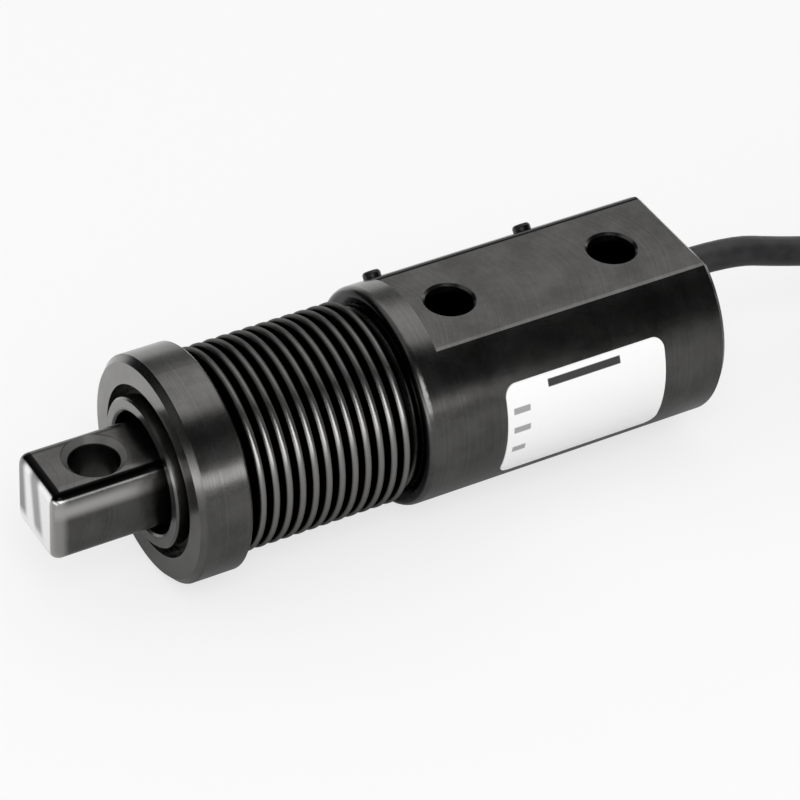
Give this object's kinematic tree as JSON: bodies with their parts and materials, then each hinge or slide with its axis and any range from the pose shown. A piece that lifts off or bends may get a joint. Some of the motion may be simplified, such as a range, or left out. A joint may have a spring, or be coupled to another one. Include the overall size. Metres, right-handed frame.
{
  "type": "strain gauge load cell",
  "caption": "Bellows-sealed bending beam load cell with a square load block, two mounting holes in a flat and a free signal cable.",
  "frame": {"origin": "centre of the load hole, on the cell's long axis", "axes": "+X along the cell towards the cable end, +Z out of the mounting flat, -Y towards the label"},
  "size_m": [0.2996, 0.0783, 0.0468],
  "materials": {
    "cell_steel": "machined and blasted stainless steel, dark satin",
    "bellows_steel": "thin rolled stainless sheet, satin",
    "weld_steel": "heat tinted weld metal",
    "cover_steel": "turned stainless disc",
    "bush_metal": "nickel plated brass",
    "plug_steel": "small stainless screw, satin",
    "washer_copper": "annealed copper",
    "gauge_foil": "polyimide carrier with a metal foil grid",
    "strip_board": "glass fibre strip with tinned pads",
    "wire_sleeve": "white fluoropolymer insulation",
    "circuit_board": "solder masked glass fibre",
    "resistor_body": "chip resistor body",
    "screw_steel": "small machine screw",
    "seal_rubber": "black moulded rubber",
    "label_stock": "white film label, satin",
    "cable_jacket": "dark extruded jacket, satin",
    "tie_strap": "black strap",
    "shrink_tube": "black heat shrink tube",
    "core_insulation": "coloured conductor insulation"
  },
  "bodies": {
    "root": {"spring_element": "cell_steel", "hub_sleeve": "cell_steel", "front_collar": "cell_steel", "front_weld": "weld_steel", "bellows": "bellows_steel", "front_cuff_ring": "cell_steel", "rear_cuff_ring": "cell_steel", "gauge_top_front": "gauge_foil", "gauge_top_rear": "gauge_foil", "gauge_bottom_front": "gauge_foil", "gauge_bottom_rear": "gauge_foil", "terminal_strip_top": "strip_board", "terminal_strip_bottom": "strip_board", "gauge_jumpers": "wire_sleeve", "side_jumper": "wire_sleeve", "bridge_lead": "wire_sleeve", "lead_sleeve": "wire_sleeve", "trim_board": "circuit_board", "trim_resistors": "resistor_body", "board_spacers": "wire_sleeve", "board_screws": "screw_steel", "rear_cover": "cover_steel", "cover_weld": "weld_steel", "cable_bush": "bush_metal", "bush_nut": "bush_metal", "cable_seal": "seal_rubber", "inner_cores": "core_insulation", "purge_plug": "plug_steel", "fill_plug": "plug_steel", "plug_washers": "washer_copper", "label_plate": "label_stock", "cable": "cable_jacket", "cable_coil": "cable_jacket", "coil_ties": "tie_strap", "heat_shrink": "shrink_tube", "end_cores": "core_insulation"}
  },
  "joints": []
}
